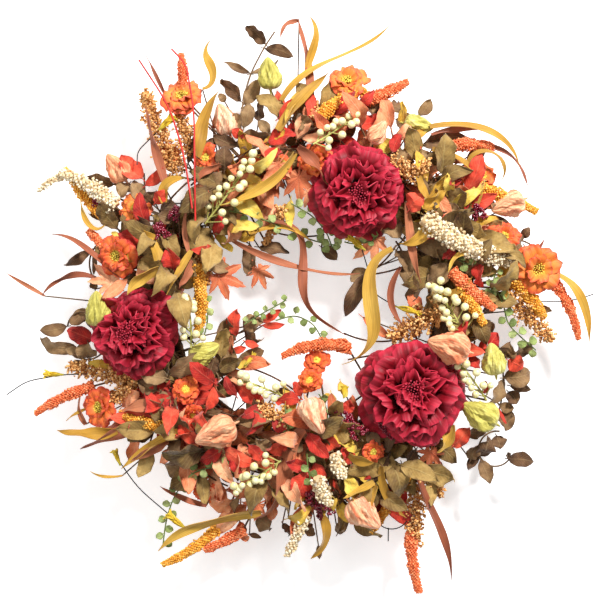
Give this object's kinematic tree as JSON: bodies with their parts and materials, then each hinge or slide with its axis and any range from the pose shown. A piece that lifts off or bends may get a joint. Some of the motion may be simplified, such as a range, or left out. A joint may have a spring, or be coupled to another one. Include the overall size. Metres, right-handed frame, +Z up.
{
  "type": "harvest door wreath",
  "caption": "Round harvest wreath: wired fabric flowers, leaves, grasses, berries, pods and grain on a twisted vine ring, with a swinging wire hanger.",
  "frame": {"origin": "the point where a door hook bears inside the top of the wire hanger loop, at the back of the wreath", "axes": "+Z up, the front of the wreath faces -Y, +X is to the right seen from the front"},
  "size_m": [0.6005, 0.1241, 0.5878],
  "materials": {
    "vine_bark": "rough bark",
    "binding_wire": "dull",
    "hanger_steel": "drawn wire",
    "peony_fabric": "woven, deep folds",
    "peony_centre_fabric": "fringed",
    "green_stem_plastic": "moulded",
    "bloom_fabric": "woven",
    "bloom_centre_fabric": "flocked",
    "yellow_pod_paper": "ribbed and creased",
    "peach_pod_paper": "ribbed and creased",
    "cream_berry_foam": "satin lacquer",
    "pale_twig_plastic": "moulded",
    "burgundy_bead_plastic": "gloss",
    "cream_blossom_foam": "crumbed",
    "mustard_amaranth_foam": "crumbed",
    "orange_amaranth_foam": "crumbed",
    "brown_grain": "seed grains",
    "brown_leaf_fabric": "veined",
    "olive_leaf_fabric": "veined",
    "red_leaf_fabric": "veined",
    "peach_leaf_fabric": "veined",
    "yellow_leaf_fabric": "veined",
    "mustard_blade_fabric": "long fibres",
    "rust_blade_fabric": "long fibres",
    "green_vine_plastic": "moulded",
    "black_wire": "satin",
    "red_wire": "satin",
    "yellow_bud_plastic": "moulded",
    "brown_tape": "wrapped floral tape"
  },
  "bodies": {
    "wreath": {"binding_wires": "binding_wire", "black_wire_tendrils": "black_wire", "brown_leaves_lower_left": "brown_leaf_fabric", "brown_leaves_lower_right": "brown_leaf_fabric", "brown_leaves_upper_left": "brown_leaf_fabric", "brown_leaves_upper_right": "brown_leaf_fabric", "burgundy_bead_berries": "burgundy_bead_plastic", "cream_berries_bottom": "cream_berry_foam", "cream_berries_left": "cream_berry_foam", "cream_berries_right": "cream_berry_foam", "cream_berries_top": "cream_berry_foam", "cream_berries_upper_left": "cream_berry_foam", "cream_berry_twigs": "pale_twig_plastic", "cream_blossom_spikes": "cream_blossom_foam", "grain_plumes": "brown_grain", "green_vine_leaves": "green_vine_plastic", "green_vine_stems": "green_vine_plastic", "hanger_eyes": "hanger_steel", "loose_brown_twigs": "vine_bark", "mustard_amaranth_spikes": "mustard_amaranth_foam", "mustard_blades": "mustard_blade_fabric", "olive_fill_leaves": "olive_leaf_fabric", "orange_amaranth_spikes": "orange_amaranth_foam", "orange_bloom_centres": "bloom_centre_fabric", "orange_bloom_petals": "bloom_fabric", "peach_lantern_pods": "peach_pod_paper", "peach_leaves": "peach_leaf_fabric", "peach_maple_leaves": "peach_leaf_fabric", "peony_left_calyx_and_stem": "green_stem_plastic", "peony_left_centre": "peony_centre_fabric", "peony_left_petals": "peony_fabric", "peony_lower_calyx_and_stem": "green_stem_plastic", "peony_lower_centre": "peony_centre_fabric", "peony_lower_petals": "peony_fabric", "peony_upper_calyx_and_stem": "green_stem_plastic", "peony_upper_centre": "peony_centre_fabric", "peony_upper_petals": "peony_fabric", "red_leaves_lower_left": "red_leaf_fabric", "red_leaves_lower_right": "red_leaf_fabric", "red_leaves_upper_left": "red_leaf_fabric", "red_leaves_upper_right": "red_leaf_fabric", "red_wire_twigs": "red_wire", "rust_blades": "rust_blade_fabric", "spray_stems": "brown_tape", "stalk_wires_lower_left": "brown_tape", "stalk_wires_lower_right": "brown_tape", "stalk_wires_upper_left": "brown_tape", "stalk_wires_upper_right": "brown_tape", "vine_core": "vine_bark", "vine_strand_1": "vine_bark", "vine_strand_2": "vine_bark", "vine_strand_3": "vine_bark", "vine_strand_4": "vine_bark", "vine_strand_5": "vine_bark", "vine_strand_6": "vine_bark", "yellow_buds": "yellow_bud_plastic", "yellow_lantern_pods": "yellow_pod_paper", "yellow_leaves": "yellow_leaf_fabric"},
    "hanger_loop": {"hanger_loop": "hanger_steel"}
  },
  "joints": [
    {"name": "hanger_swing", "type": "hinge", "parent": "wreath", "child": "hanger_loop", "pos_m": [0, 0, -0.045], "axis": [1, 0, 0], "range_deg": [-175, 15]}
  ]
}
